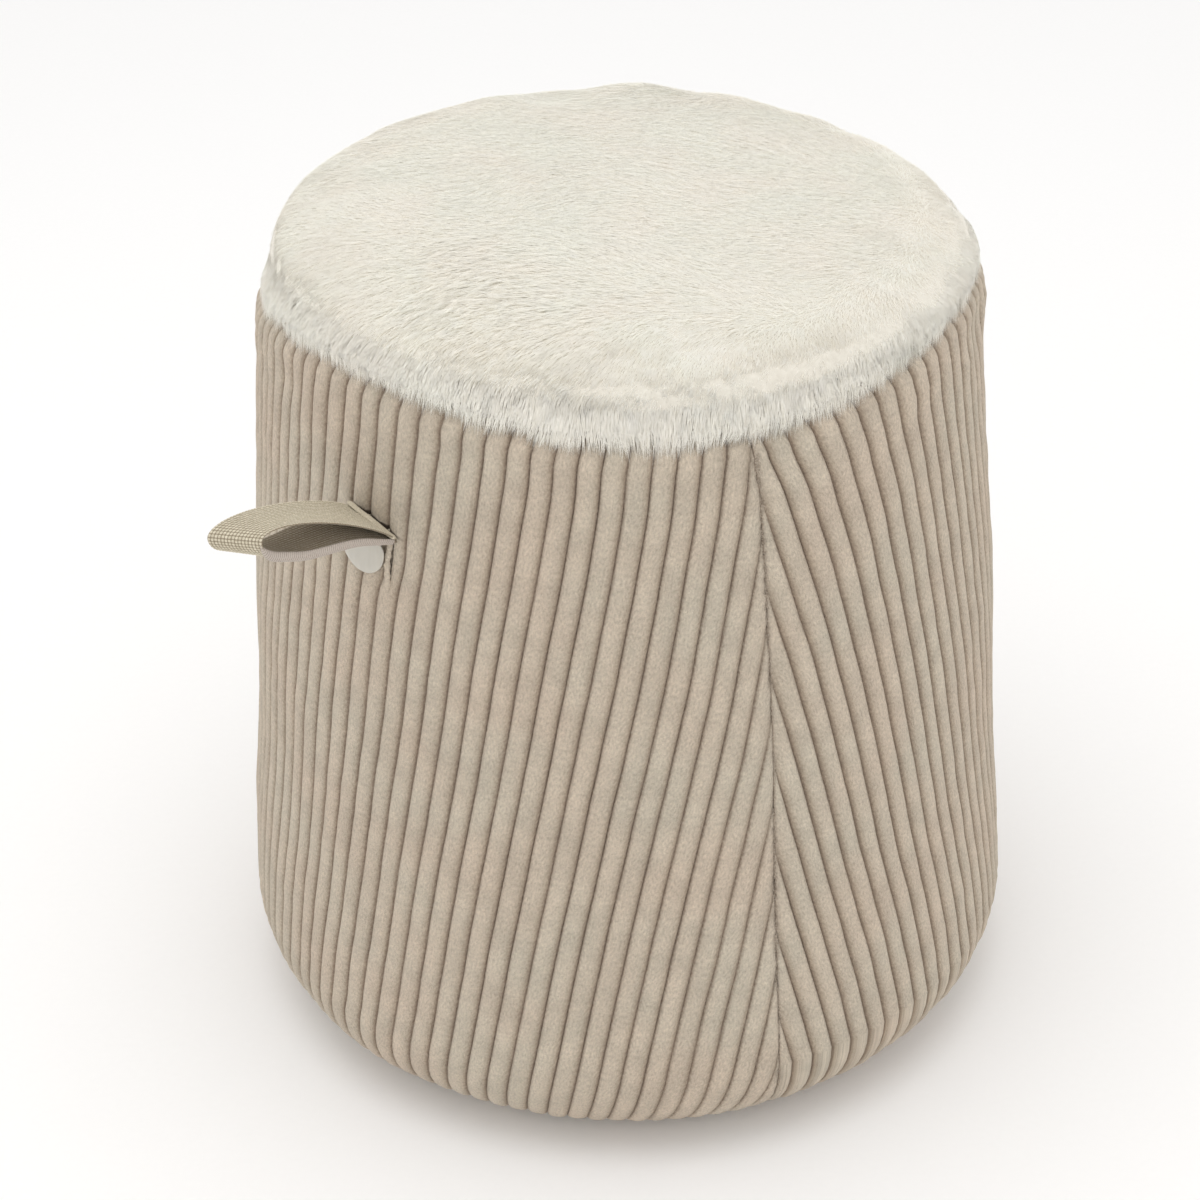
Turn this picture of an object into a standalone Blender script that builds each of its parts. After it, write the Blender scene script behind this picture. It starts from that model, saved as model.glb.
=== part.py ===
"""Small round storage ottoman, standing on its base, in metres with +Z up.

A slightly tapered drum is covered with one curved panel of wide-rib corduroy, whose straight
parallel ribs meet in a herringbone at a single seam. A domed plush pad tops it. A short loop of
woven webbing and a plain white tab come out of a slit near the rim, and a black cloth disc
closes the base. The origin is the centre of the base, -Y is the front, and bearings are
measured round from the front towards +X.
"""

import math

import bmesh
import bpy
from mathutils import Matrix, Vector

# Drum: its radii are those of the rib crowns, on a cone that runs down to the floor.
FOOT_RADIUS = 0.175
RIM_RADIUS = 0.1499
RIM_HEIGHT = 0.342
EDGE_ROUNDING = 0.044

# The sewn rim rises and dips three times on its way round.
RIM_WAVE = 0.008
RIM_WAVES = 3
RIM_LOW_BEARING = 0.21

# Corduroy: straight parallel ribs on a flat ring sector, counted from its centre line.
RIB_PITCH = 0.0094
RIBS_EACH_SIDE = 58
COLUMNS_PER_RIB = 4
GROOVE_DEPTH = 0.0026
SHOULDER_DEPTH = 0.0006
SEAM_DEPTH = 0.0016
SEAM_BEARING = math.radians(21.4)
WALL_ROWS = 4
EDGE_ROWS = 3

# Plush pad on top, thicker on the left than on the right.
PAD_RADIUS = 0.1487
PAD_SIDE = 0.0270
PAD_LEFT_EXTRA = 0.0050
PAD_CROWN = 0.0105
PAD_TUCK = 0.002
PAD_SQUARENESS = 0.40
PAD_SEGMENTS = 88
PAD_ROWS = 9

# Black cloth under the base.
BASE_RADIUS = 0.131
BASE_THICKNESS = 0.0012

# Webbing loop. Its sizes are along X out from the wall, Y round to the left and Z up.
SLIT_BEARING = math.radians(-35.2)
SLIT_HEIGHT = 0.2826
STRAP_THICKNESS = 0.0016
LOOP_REACH = Vector((0.0586, 0.0147, 0.0257))
ACROSS_AT_SLIT = Vector((0.0, 0.0201, 0.0100))
ACROSS_AT_FOLD = Vector((0.0057, 0.0224, -0.0020))
REACH_POWER = 0.83
LOOP_RISE = 0.0085
LOOP_SAG = 0.0080
SAG_POWER = 2.4
LOOP_ROWS = 36
STRAP_INSIDE = Vector((0.006, 0.0, 0.0))
STRAP_PARTING = 0.0013

# The slot that the strap comes out of, and the narrow slit below it.
SLOT_SIZE = Vector((0.022, 0.0255, 0.0054))
SLIT_SIZE = Vector((0.010, 0.0014, 0.023))

# White tab that hangs over the ribs under the loop.
TAB_WIDTH = 0.0240
TAB_LENGTH = 0.0200
TAB_THICKNESS = 0.0026
TAB_EDGE = 0.0008
TAB_CLEARANCE = 0.0009
TAB_BEARING = math.radians(-40.6)
TAB_BOTTOM = 0.2655

GAP = 0.0003
SEAT_GAP = 0.0006

TAPER = (FOOT_RADIUS - RIM_RADIUS) / RIM_HEIGHT
SIN_CONE = math.sin(math.atan(TAPER))
HALF_PANEL = math.pi * SIN_CONE


def clear_scene():
    for old in list(bpy.data.objects):
        bpy.data.objects.remove(old, do_unlink=True)


def new_collection(name):
    collection = bpy.data.collections.new(name)
    bpy.context.scene.collection.children.link(collection)
    return collection


def cloth(name, color, roughness):
    material = bpy.data.materials.new(name)
    material.use_nodes = True
    shader = material.node_tree.nodes["Principled BSDF"]
    shader.inputs["Base Color"].default_value = (*color, 1.0)
    shader.inputs["Roughness"].default_value = roughness
    shader.inputs["Metallic"].default_value = 0.0
    return material


def add_part(name, bm, collection, material):
    """Makes an object of a closed bmesh, with its faces pointing out."""
    bmesh.ops.recalc_face_normals(bm, faces=bm.faces)
    mesh = bpy.data.meshes.new(name)
    bm.to_mesh(mesh)
    bm.free()
    mesh.materials.append(material)
    part = bpy.data.objects.new(name, mesh)
    collection.objects.link(part)
    return part


def cone_radius(height):
    return FOOT_RADIUS - TAPER * height


def rim_wave(bearing):
    """How far the uneven rim is above its mean height."""
    return -RIM_WAVE * math.cos(RIM_WAVES * (bearing - RIM_LOW_BEARING))


def round_point(radius, bearing, height):
    return Vector((radius * math.sin(bearing), -radius * math.cos(bearing), height))


def wall_frame(bearing, height):
    """Frame on the crowns of the wall: X out, Y round to the left as seen from outside, Z up."""
    out = round_point(1.0, bearing, 0.0)
    up = Vector((0.0, 0.0, 1.0))
    frame = Matrix((out, out.cross(up), up)).transposed().to_4x4()
    frame.translation = round_point(cone_radius(height), bearing, height)
    return frame


def fan_cap(bm, ring):
    """Closes a ring of open edges with triangles that meet at its middle."""
    cap = bmesh.ops.edgeloop_fill(bm, edges=ring)["faces"]
    bmesh.ops.poke(bm, faces=cap)


def open_edges(bm, above):
    """The wall's open edges above or below its middle, once the seam is sewn."""
    middle = RIM_HEIGHT / 2.0
    return [
        edge
        for edge in bm.edges
        if edge.is_boundary and all((vert.co.z > middle) == above for vert in edge.verts)
    ]


# Drum


def flat_panel(bm):
    """Lays the corduroy out flat, its ribs along Y, and trims it to a ring sector."""
    far_slant = cone_radius(EDGE_ROUNDING) / SIN_CONE
    near_slant = RIM_RADIUS / SIN_CONE
    half_columns = RIBS_EACH_SIDE * COLUMNS_PER_RIB
    profile = (-GROOVE_DEPTH, -SHOULDER_DEPTH, 0.0, -SHOULDER_DEPTH)
    bmesh.ops.create_grid(bm, x_segments=2 * half_columns, y_segments=WALL_ROWS, size=1.0)
    for vert in bm.verts:
        column = round(vert.co.x * half_columns)
        across = column * RIB_PITCH / COLUMNS_PER_RIB
        slant = far_slant + (near_slant - far_slant) * (1.0 + vert.co.y) / 2.0
        vert.co = (across, math.sqrt(slant**2 - across**2), profile[column % COLUMNS_PER_RIB])
    for side in (-1.0, 1.0):
        outward = Vector((side * math.cos(HALF_PANEL), -math.sin(HALF_PANEL), 0.0))
        bmesh.ops.bisect_plane(
            bm, geom=bm.verts[:] + bm.edges[:] + bm.faces[:], dist=0.0002,
            plane_co=(0.0, 0.0, 0.0), plane_no=outward, clear_outer=True,
        )


def add_hem(bm, tuck):
    """Adds the rows that go round the bottom edge, marked by how far round they go."""
    far_slant = cone_radius(EDGE_ROUNDING) / SIN_CONE
    ring = [
        edge
        for edge in bm.edges
        if all(math.hypot(vert.co.x, vert.co.y) > far_slant - 0.0001 for vert in edge.verts)
    ]
    for row in range(1, EDGE_ROWS + 1):
        grown = bmesh.ops.extrude_edge_only(bm, edges=ring)["geom"]
        verts = {item for item in grown if isinstance(item, bmesh.types.BMVert)}
        for vert in verts:
            vert[tuck] = row / EDGE_ROWS
        edges = [item for item in grown if isinstance(item, bmesh.types.BMEdge)]
        ring = [edge for edge in edges if verts.issuperset(edge.verts)]


def roll_up(bm, tuck):
    """Rolls the flat panel into the drum's wall and sews its two straight edges together."""
    hem_radius = cone_radius(EDGE_ROUNDING) - EDGE_ROUNDING
    underside = BASE_THICKNESS + GAP
    for vert in bm.verts:
        slant = math.hypot(vert.co.x, vert.co.y)
        turn = math.atan2(vert.co.x, vert.co.y)
        relief = vert.co.z
        if abs(turn) > HALF_PANEL - 0.0003 / slant:
            turn = math.copysign(HALF_PANEL, turn)
            relief = -SEAM_DEPTH
        bearing = SEAM_BEARING + math.pi + turn / SIN_CONE
        height = (FOOT_RADIUS - slant * SIN_CONE) / TAPER
        share = max(0.0, height - EDGE_ROUNDING) / (RIM_HEIGHT - EDGE_ROUNDING)
        height += share**2 * rim_wave(bearing)
        radius = cone_radius(height) + relief
        if vert[tuck] > 0.0:
            angle = 0.5 * math.pi * vert[tuck]
            relief *= 1.0 - vert[tuck] ** 2
            radius = hem_radius + (EDGE_ROUNDING + relief) * math.cos(angle)
            height = EDGE_ROUNDING - (EDGE_ROUNDING - underside + relief) * math.sin(angle)
        vert.co = round_point(radius, bearing, height)
    bmesh.ops.remove_doubles(bm, verts=bm.verts, dist=0.00008)


def cut_box(name, size, frame, collection):
    """A box that only cuts, drawn as a wire."""
    bpy.ops.mesh.primitive_cube_add(size=1.0)
    box = bpy.context.object
    box.name = name
    box.data.transform(Matrix.Diagonal((*size, 1.0)))
    box.matrix_world = frame
    box.display_type = "WIRE"
    box.hide_render = True
    for owner in list(box.users_collection):
        owner.objects.unlink(box)
    collection.objects.link(box)
    return box


def slot_frame():
    """Frame at the middle of the strap's slot, with Y along the slot."""
    out = Vector((1.0, 0.0, 0.0))
    along = ACROSS_AT_SLIT.normalized()
    tilt = Matrix((out, along, out.cross(along))).transposed().to_4x4()
    tilt.translation = ACROSS_AT_SLIT / 2.0
    return wall_frame(SLIT_BEARING, SLIT_HEIGHT) @ tilt


def slit_frame():
    """Frame at the middle of the slit that runs down from the near end of the slot."""
    below = Vector((0.0, SLIT_SIZE.y, -SLIT_SIZE.z / 2.0))
    return wall_frame(SLIT_BEARING, SLIT_HEIGHT) @ Matrix.Translation(below)


def corduroy_drum(collection, cutters):
    """The whole ribbed drum, closed above and below, with the loop's slot and slit cut in."""
    bm = bmesh.new()
    tuck = bm.verts.layers.float.new("tuck")
    flat_panel(bm)
    add_hem(bm, tuck)
    roll_up(bm, tuck)
    fan_cap(bm, open_edges(bm, above=True))
    fan_cap(bm, open_edges(bm, above=False))
    corduroy = cloth("corduroy", (0.46, 0.39, 0.32), 0.95)
    drum = add_part("corduroy_drum", bm, collection, corduroy)
    for name, size, frame in (
        ("strap_slot", SLOT_SIZE, slot_frame()),
        ("narrow_slit", SLIT_SIZE, slit_frame()),
    ):
        cut = drum.modifiers.new(name, "BOOLEAN")
        cut.operation = "DIFFERENCE"
        cut.solver = "EXACT"
        cut.object = cut_box(name, size, frame, cutters)
    return drum


# Plush pad


def plush_pad(collection):
    """A squared-off dome whose foot follows the rim and whose side is thicker on the left."""
    bm = bmesh.new()
    bmesh.ops.create_uvsphere(
        bm, u_segments=PAD_SEGMENTS, v_segments=2 * PAD_ROWS, radius=1.0
    )
    below = [vert for vert in bm.verts if vert.co.z < -0.01]
    bmesh.ops.delete(bm, geom=below, context="VERTS")
    for vert in bm.verts:
        bearing = math.atan2(vert.co.x, -vert.co.y)
        inward = math.hypot(vert.co.x, vert.co.y) ** PAD_SQUARENESS
        raised = max(0.0, vert.co.z) ** PAD_SQUARENESS
        radius = PAD_RADIUS * inward - PAD_TUCK * (1.0 - raised) ** 3
        foot = SEAT_GAP + rim_wave(bearing) * radius / RIM_RADIUS
        side = PAD_SIDE - PAD_LEFT_EXTRA * math.sin(bearing) * radius / PAD_RADIUS
        crown = PAD_CROWN * (1.0 - inward**2)
        height = RIM_HEIGHT + foot * (1.0 - raised) + (side + crown) * raised
        vert.co = round_point(radius, bearing, height)
    fan_cap(bm, [edge for edge in bm.edges if edge.is_boundary])
    return add_part("plush_pad", bm, collection, cloth("plush", (0.82, 0.76, 0.64), 1.0))


# Base cloth, loop and tab


def base_cloth(collection):
    """A plain disc under the turned-in cover, which the ottoman stands on."""
    bm = bmesh.new()
    bmesh.ops.create_cone(
        bm, cap_ends=True, segments=72, radius1=BASE_RADIUS, radius2=BASE_RADIUS,
        depth=BASE_THICKNESS,
    )
    bmesh.ops.translate(bm, verts=bm.verts, vec=(0.0, 0.0, BASE_THICKNESS / 2.0))
    return add_part("base_cloth", bm, collection, cloth("base_black", (0.02, 0.02, 0.02), 0.9))


def loop_point(round_share, across):
    """A point of the strap, from its upper end (0) round the fold (half) to its lower end (1).

    The side view is a flat teardrop: pointed at the slit and round at the fold. Its upper half
    arches evenly and its lower half hangs lowest near the fold. Across runs from 0 on the near
    edge to 1 on the far edge.
    """
    angle = 2.0 * math.pi * round_share
    reach = (0.5 * (1.0 - math.cos(angle))) ** REACH_POWER
    if round_share < 0.5:
        lift = LOOP_RISE * math.sin(angle)
    else:
        lift = LOOP_SAG * math.sin(angle) * math.sin(angle / 2.0) ** SAG_POWER
    near = LOOP_REACH * reach
    far = near + ACROSS_AT_SLIT.lerp(ACROSS_AT_FOLD, reach)
    parting = STRAP_PARTING * math.cos(angle / 2.0)
    return near.lerp(far, across) + Vector((0.0, 0.0, lift + parting))


def pull_loop(collection):
    """One strip of webbing, folded in half, with its two ends inside the slot."""
    bm = bmesh.new()
    bmesh.ops.create_grid(bm, x_segments=LOOP_ROWS + 2, y_segments=2, size=1.0)
    frame = wall_frame(SLIT_BEARING, SLIT_HEIGHT)
    for vert in bm.verts:
        row = round((1.0 + vert.co.x) / 2.0 * (LOOP_ROWS + 2)) - 1
        across = (1.0 + vert.co.y) / 2.0
        inside = row < 0 or row > LOOP_ROWS
        point = loop_point(min(max(row, 0), LOOP_ROWS) / LOOP_ROWS, across)
        if inside:
            point -= STRAP_INSIDE
        vert.co = frame @ point
    loop = add_part("pull_loop", bm, collection, cloth("webbing", (0.52, 0.47, 0.38), 0.85))
    strap = loop.modifiers.new("strap", "SOLIDIFY")
    strap.thickness = STRAP_THICKNESS
    strap.offset = 0.0
    return loop


def white_tab(collection):
    """A flat tab, a little wider than tall, with its thin edge rounded over."""
    bm = bmesh.new()
    radius = TAB_WIDTH / 2.0
    bmesh.ops.create_cone(
        bm, cap_ends=True, segments=28, radius1=radius, radius2=radius, depth=TAB_THICKNESS
    )
    bmesh.ops.scale(bm, verts=bm.verts, vec=(1.0, TAB_LENGTH / TAB_WIDTH, 1.0))
    tab = add_part("white_tab", bm, collection, cloth("white_plastic", (0.75, 0.74, 0.71), 0.35))
    out = Matrix.Translation((TAB_CLEARANCE + TAB_THICKNESS / 2.0, 0.0, TAB_LENGTH / 2.0))
    lean = Matrix.Rotation(-math.atan(TAPER), 4, "Y")
    quarter = math.radians(90.0)
    upright = Matrix.Rotation(quarter, 4, "Z") @ Matrix.Rotation(quarter, 4, "X")
    tab.matrix_world = wall_frame(TAB_BEARING, TAB_BOTTOM) @ out @ lean @ upright
    edge = tab.modifiers.new("edge", "BEVEL")
    edge.width = TAB_EDGE
    edge.segments = 2
    edge.limit_method = "ANGLE"
    return tab


def build():
    clear_scene()
    ottoman = new_collection("storage_ottoman")
    cutters = new_collection("cutters")
    corduroy_drum(ottoman, cutters)
    plush_pad(ottoman)
    base_cloth(ottoman)
    pull_loop(ottoman)
    white_tab(ottoman)


build()
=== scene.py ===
"""Looks of a small round storage ottoman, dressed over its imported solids, in metres, +Z up.

The pieces come in the order the ottoman is put together: base cloth, corduroy cover, seam,
plush pad and its pile, webbing loop, white tab. Bearings are measured round from the front
(-Y) towards +X, as in the solids.
"""

import bpy
import numpy as np
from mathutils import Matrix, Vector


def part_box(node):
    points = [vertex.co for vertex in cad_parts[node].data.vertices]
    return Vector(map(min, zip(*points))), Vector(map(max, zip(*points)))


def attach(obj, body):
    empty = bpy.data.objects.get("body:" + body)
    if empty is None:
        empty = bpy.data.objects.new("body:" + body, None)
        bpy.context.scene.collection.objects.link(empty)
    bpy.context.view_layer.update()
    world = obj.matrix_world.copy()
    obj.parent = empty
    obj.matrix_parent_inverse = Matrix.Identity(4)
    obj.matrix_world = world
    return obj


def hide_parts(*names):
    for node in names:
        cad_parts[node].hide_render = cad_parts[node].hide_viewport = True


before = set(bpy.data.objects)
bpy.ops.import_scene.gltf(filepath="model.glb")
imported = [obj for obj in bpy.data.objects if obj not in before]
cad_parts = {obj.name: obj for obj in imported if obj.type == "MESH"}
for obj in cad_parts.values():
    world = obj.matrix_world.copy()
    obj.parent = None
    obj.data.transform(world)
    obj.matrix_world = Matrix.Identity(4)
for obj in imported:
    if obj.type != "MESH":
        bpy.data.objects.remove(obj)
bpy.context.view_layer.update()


# ------------------------------------------------------------- Meshes, noise and materials
# What all the pieces share.

UP = np.array((0.0, 0.0, 1.0))
WELD = 0.00002


def new_mesh(name, places, corner_verts, sides):
    """A mesh from its points, the points at its faces' corners in one row, and how many
    corners each face has in the same order."""
    mesh = bpy.data.meshes.new(name)
    mesh.vertices.add(places.size // 3)
    mesh.vertices.foreach_set("co", places.astype(np.float32).ravel())
    mesh.loops.add(len(corner_verts))
    mesh.loops.foreach_set("vertex_index", corner_verts.astype(np.int32))
    mesh.polygons.add(len(sides))
    mesh.polygons.foreach_set("loop_start", (np.cumsum(sides) - sides).astype(np.int32))
    return mesh


def set_marks(mesh, marks):
    """Writes named values, one for each point of a mesh, as attributes."""
    for name, values in marks.items():
        attribute = mesh.attributes.new(name, "FLOAT", "POINT")
        attribute.data.foreach_set("value", values.astype(np.float32))


def placed(name, data):
    """A new object in the scene for a mesh, a light or a camera."""
    made = bpy.data.objects.new(name, data)
    bpy.context.scene.collection.objects.link(made)
    return made


def surface(name, points, flat=None, marks=None):
    """Makes an object from a grid of points, rows by columns, with a quad between each four.

    Points that coincide are welded, and a quad that the weld flattens becomes a triangle or
    goes. flat is each grid point's place on the flat cloth in metres, and becomes the UV map.
    marks are named values for the grid points, and become attributes. Where columns run
    counter-clockwise seen from above and rows run up, the faces look outwards.
    """
    rows, columns = points.shape[:2]
    places = points.reshape(-1, 3)
    _, first, welded = np.unique(np.round(places / WELD).astype(np.int64), axis=0,
                                 return_index=True, return_inverse=True)
    grid = np.arange(rows * columns).reshape(rows, columns)
    quads = np.stack((grid[:-1, :-1], grid[:-1, 1:], grid[1:, 1:], grid[1:, :-1]), axis=-1)
    quads = quads.reshape(-1, 4)
    corners = welded.reshape(-1)[quads]
    kept = corners != np.roll(corners, 1, axis=1)
    kept &= (corners[:, 0] != corners[:, 2])[:, None] & (corners[:, 1] != corners[:, 3])[:, None]
    whole = kept.sum(axis=1) >= 3
    kept = kept[whole]

    mesh = new_mesh(name, places[first], corners[whole][kept], kept.sum(axis=1))
    if flat is not None:
        corner_flat = flat.reshape(-1, 2)[quads[whole][kept]]
        layer = mesh.uv_layers.new(name="flat")
        layer.data.foreach_set("uv", corner_flat.astype(np.float32).ravel())
    set_marks(mesh, {mark: values.reshape(-1)[first] for mark, values in (marks or {}).items()})
    mesh.update(calc_edges=True)
    mesh.validate()
    mesh.shade_smooth()
    return placed(name, mesh)


def round_points(radius, bearing, height):
    """Points from cylinder values: X is radius times sine, and -Y is radius times cosine."""
    places = (radius * np.sin(bearing), -radius * np.cos(bearing), height)
    return np.stack(np.broadcast_arrays(*places), axis=-1)


def drift(points, size, seed):
    """Smooth noise, mostly within 1 of zero: a sum of 14 sine waves in random directions,
    each about size long."""
    chance = np.random.default_rng(seed)
    way = chance.normal(size=(14, 3))
    way /= np.linalg.norm(way, axis=1, keepdims=True)
    waves = way * 2.0 * np.pi / (size * chance.uniform(0.7, 1.5, (14, 1)))
    phase = chance.uniform(0.0, 2.0 * np.pi, 14)
    return np.sin(points @ waves.T + phase).sum(axis=-1) / np.sqrt(14.0)


def smooth_step(value, low, high):
    """Rises from 0 at low to 1 at high along the curve 3x^2 - 2x^3."""
    share = np.clip((value - low) / (high - low), 0.0, 1.0)
    return share * share * (3.0 - 2.0 * share)


def linear(srgb_hex):
    """Turns an sRGB hex colour to the linear values that a shader takes."""
    srgb = np.array([int(srgb_hex[i:i + 2], 16) for i in (1, 3, 5)]) / 255.0
    low, high = srgb / 12.92, ((srgb + 0.055) / 1.055) ** 2.4
    return (*np.where(srgb <= 0.04045, low, high).tolist(), 1.0)


def add(tree, kind, inputs=None, **settings):
    """Adds a node with its settings. Inputs are named or numbered, and each is a value or
    another node's output, which is linked."""
    made = tree.nodes.new(kind)
    for setting, value in settings.items():
        setattr(made, setting, value)
    for socket, value in (inputs or {}).items():
        if isinstance(value, bpy.types.NodeSocket):
            tree.links.new(value, made.inputs[socket])
        else:
            made.inputs[socket].default_value = value
    return made


def coordinates(tree):
    """The place on the object in metres, which solid patterns are made from."""
    return add(tree, "ShaderNodeTexCoord").outputs["Object"]


def mark(tree, name):
    """A mesh's attribute."""
    return add(tree, "ShaderNodeAttribute", attribute_name=name).outputs["Fac"]


def noise(tree, place, size, detail=2.0, roughness=0.5):
    """Noise from 0 to 1 whose largest features are about size wide."""
    return add(tree, "ShaderNodeTexNoise", {"Vector": place, "Scale": 1.0 / size,
                                            "Detail": detail, "Roughness": roughness}
               ).outputs["Fac"]


def spread(tree, value, low, high, start=0.0, end=1.0):
    """Carries low to start and high to end along a straight line, and goes no further."""
    return add(tree, "ShaderNodeMapRange", {"Value": value, 1: low, 2: high, 3: start, 4: end}
               ).outputs[0]


def mixed(tree, share, first, second):
    """A colour from the first (0) to the second (1), each a hex colour or an output."""
    first, second = (linear(end) if isinstance(end, str) else end for end in (first, second))
    return add(tree, "ShaderNodeMix", {0: share, 6: first, 7: second}, data_type="RGBA"
               ).outputs[2]


def maths(tree, operation, first, second=0.5, **settings):
    """A sum, a product or the like of one or two values."""
    return add(tree, "ShaderNodeMath", {0: first, 1: second}, operation=operation, **settings
               ).outputs[0]


def vector_maths(tree, operation, first, second):
    """A sum, a product or the like of two vectors, part by part."""
    return add(tree, "ShaderNodeVectorMath", {0: first, 1: second}, operation=operation
               ).outputs[0]


def finish_named(name, **constants):
    """A new material with one Principled BSDF, its unlinked sockets set by name."""
    material = bpy.data.materials.new(name)
    material.use_nodes = True
    shader = material.node_tree.nodes["Principled BSDF"]
    for socket, value in constants.items():
        shader.inputs[socket.replace("_", " ")].default_value = value
    return material, material.node_tree, shader


def link_finish(tree, shader, colour, height, strength, distance):
    """Gives a shader its colour, if there is one, and a relief: height times distance."""
    if colour is not None:
        tree.links.new(colour, shader.inputs["Base Color"])
    bump = add(tree, "ShaderNodeBump", {"Height": height, "Strength": strength,
                                        "Distance": distance})
    tree.links.new(bump.outputs["Normal"], shader.inputs["Normal"])


# ------------------------------------------------------------------------------ Base cloth
# A disc of black spun-bonded cloth closes the underside. It is cut with scissors, its edge
# is turned in once, which makes the rim double, and it is fixed under the wooden base.

BASE_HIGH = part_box("base_cloth")[1]
BASE_TURN_IN = 0.011
BASE_BLEND = 1.3 * BASE_TURN_IN
BASE_SINGLE = 0.00045
BASE_PUCKER = 0.0002
BASE_PUCKERS = 23.0
BASE_BLACK = "#1c1b1b"
BASE_BOND = 0.0016
BASE_FIBRE = 1.0 / 900.0


def spunbond_finish():
    """Black spun-bonded polypropylene: matt, with faint pressed bond points in a grid."""
    material, tree, shader = finish_named(
        "black spun-bonded polypropylene", Base_Color=linear(BASE_BLACK), Roughness=0.8
    )
    place = coordinates(tree)
    dots = add(tree, "ShaderNodeTexVoronoi", {"Vector": place, "Scale": 1.0 / BASE_BOND,
                                              "Randomness": 0.25}, feature="F1")
    fibres = noise(tree, place, BASE_FIBRE, 3.0)
    height = maths(tree, "ADD", dots.outputs["Distance"], fibres)
    link_finish(tree, shader, None, height, 0.35, 0.0003)
    return material


def base_points():
    """A flat disc turned round the vertical axis. Its profile goes from the middle of the
    underside, out along the thin middle, down to the double rim, round the fold and back.
    The turned-in edge puckers as a sine of the bearing."""
    radius, top = BASE_HIGH.x, BASE_HIGH.z
    profile = np.array((
        (0.0, BASE_SINGLE), (0.4 * radius, BASE_SINGLE), (radius - BASE_BLEND, 0.0004),
        (radius - BASE_TURN_IN, 0.00005), (radius - 0.4 * BASE_TURN_IN, 0.0),
        (radius - 0.0006, 0.0), (radius - 0.0002, 0.0002), (radius, 0.5 * top),
        (radius - 0.0003, 0.85 * top), (radius - 0.0010, top), (0.5 * radius, top),
        (0.0, top),
    ))
    bearing = np.linspace(0.0, 2.0 * np.pi, 145)
    turned_in = smooth_step(profile[:, :1], radius - BASE_BLEND, radius - BASE_TURN_IN)
    turned_in = turned_in * (profile[:, 1:] < 0.0003)
    pucker = BASE_PUCKER * turned_in * (1.0 + np.sin(BASE_PUCKERS * bearing))
    points = round_points(profile[:, :1], bearing, profile[:, 1:] + pucker)
    points[:, -1] = points[:, 0]
    return points


base = surface("black_base_cloth", base_points())
base.data.materials.append(spunbond_finish())
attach(base, "root")
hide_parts("base_cloth")


# -------------------------------------------------------------------------- Corduroy cover
# One curved panel of wide-rib corduroy, a short velvety pile knitted in ribs, is wrapped
# round the drum. Its ribs are straight and parallel on the flat cloth, so they lean more and
# more towards the single seam, where they meet in a herringbone.

FOOT_RADIUS = 0.175
RIM_RADIUS = 0.1499
RIM_HEIGHT = 0.342
EDGE_ROUNDING = 0.044
RIM_ROLL = 0.0108
RIM_WAVE = 0.008
RIM_LOW_BEARING = 0.21
SEAM_BEARING = np.radians(21.4)
TAPER = (FOOT_RADIUS - RIM_RADIUS) / RIM_HEIGHT
SIN_CONE = np.sin(np.arctan(TAPER))
HALF_PANEL = np.pi * SIN_CONE

RIB_PITCH = 0.00943
RIB_SAMPLES = (0.0, 0.035, 0.08, 0.16, 0.30, 0.5, 0.70, 0.84, 0.92, 0.965)
RIB_DEPTH = 0.0022
RIB_FLATNESS = 2.3
FIRST_RIB, LAST_RIB = -58, 62
RIGHT_PHASE, LEFT_PHASE = -0.00087, -0.00393

SLIT_BEARING = np.radians(-34.9)
SLIT_HEIGHT = 0.2836
SLOT_ACROSS = np.array((0.0230, 0.0077))
SLOT_RISE = 0.0025
SLOT_OPEN = 0.0011
SLIT_LENGTH = 0.0205
SLIT_OPEN = 0.00024

RIB_CREST = "#c6b8a6"
# The next colour is painted shade for the rib flanks that face down.
RIB_FLANK_SHADE = "#9a8874"
# The next colour is painted shade for the clefts and the seam line.
RIB_GROOVE_SHADE = "#867464"
# The next colour is painted shade in the cut slot and slit.
PAINTED_CUT_SHADE = "#3f342c"
NAP_PINK = "#c4b3a1"
NAP_GREY = "#c0b9a8"
NAP_SHEEN = "#efe4d6"

# Heights of the wall's rows, each as a lowest, a highest and a count: closer at the strap.
WALL_ROWS = ((EDGE_ROUNDING, 0.252, 25), (0.2570, 0.2745, 6), (0.2765, 0.3005, 18),
             (0.305, RIM_HEIGHT - RIM_ROLL, 6))
# How far the seam's sewing draws the cloth, and how deep below the rim that starts.
SLOW_PULL, QUICK_PULL = (0.0038, 0.150), (0.0024, 0.030)
PULL_FADES_LEFT, PULL_FADES_RIGHT = 0.160, 0.045
SEAM_HOLDS = 0.0022
SEAM_SINK = 0.0017
SEAM_STITCH = 0.0009
SLIT_SPREAD = 0.0038
SLIT_TUG, TUG_REACH = 0.0012, 0.026
ROLL_TURN = np.radians(118.0)


def cone_radius(height):
    """Radius of the drum over its rib crowns, which shrinks evenly with height."""
    return FOOT_RADIUS - TAPER * height


def roll_back(below):
    """How far the rolled rim draws in from the cone at a depth below its top: the roll's
    radius less the root of its square less the height's square."""
    share = np.clip(1.0 - below / RIM_ROLL, 0.0, 1.0)
    return RIM_ROLL * (1.0 - np.sqrt(1.0 - share**2))


def rim_wave(bearing):
    """How far the rim is above its mean height: it rises and dips three times round."""
    return -RIM_WAVE * np.cos(3.0 * (bearing - RIM_LOW_BEARING))


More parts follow.
